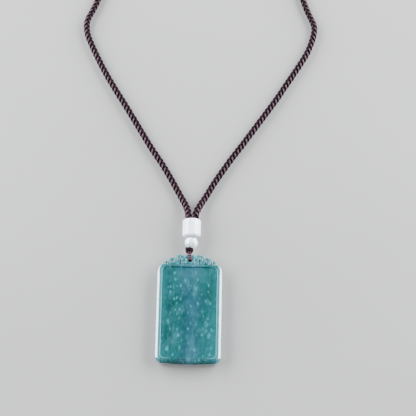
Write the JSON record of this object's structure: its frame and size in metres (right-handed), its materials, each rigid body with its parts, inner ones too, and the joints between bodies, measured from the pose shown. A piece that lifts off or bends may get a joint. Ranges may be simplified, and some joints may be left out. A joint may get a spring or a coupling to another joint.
{
  "type": "jade plaque pendant",
  "caption": "Flat jade plaque with a raised frame and a scalloped cloud crest, drilled and hung from white beads on a braided neck cord with a sliding knot.",
  "frame": {"origin": "middle of the plaque's flat underside, as the pendant lies on its back", "axes": "+Y along the plaque from its lower edge to its crest, +Z out of its framed front, +X to the right seen from the front"},
  "size_m": [0.116, 0.2692, 0.0087],
  "materials": {
    "jade": "polished translucent blue-green jade with pale cloudy flecks",
    "white_jade": "polished near-white jade",
    "pale_jade": "polished translucent pale green-white jade",
    "thread": "thin dark maroon thread",
    "braided_cord": "round eight-strand braid in dark maroon brown with a soft sheen"
  },
  "bodies": {
    "root": {"plaque": "jade", "barrel_bead": "white_jade", "round_bead": "pale_jade", "bead_thread": "thread", "pendant_knot": "thread", "hanging_loop": "thread", "necklace_cord_left": "braided_cord", "necklace_cord_right": "braided_cord", "sliding_knot": "braided_cord", "end_knot_left": "braided_cord", "end_knot_right": "braided_cord"}
  },
  "joints": []
}
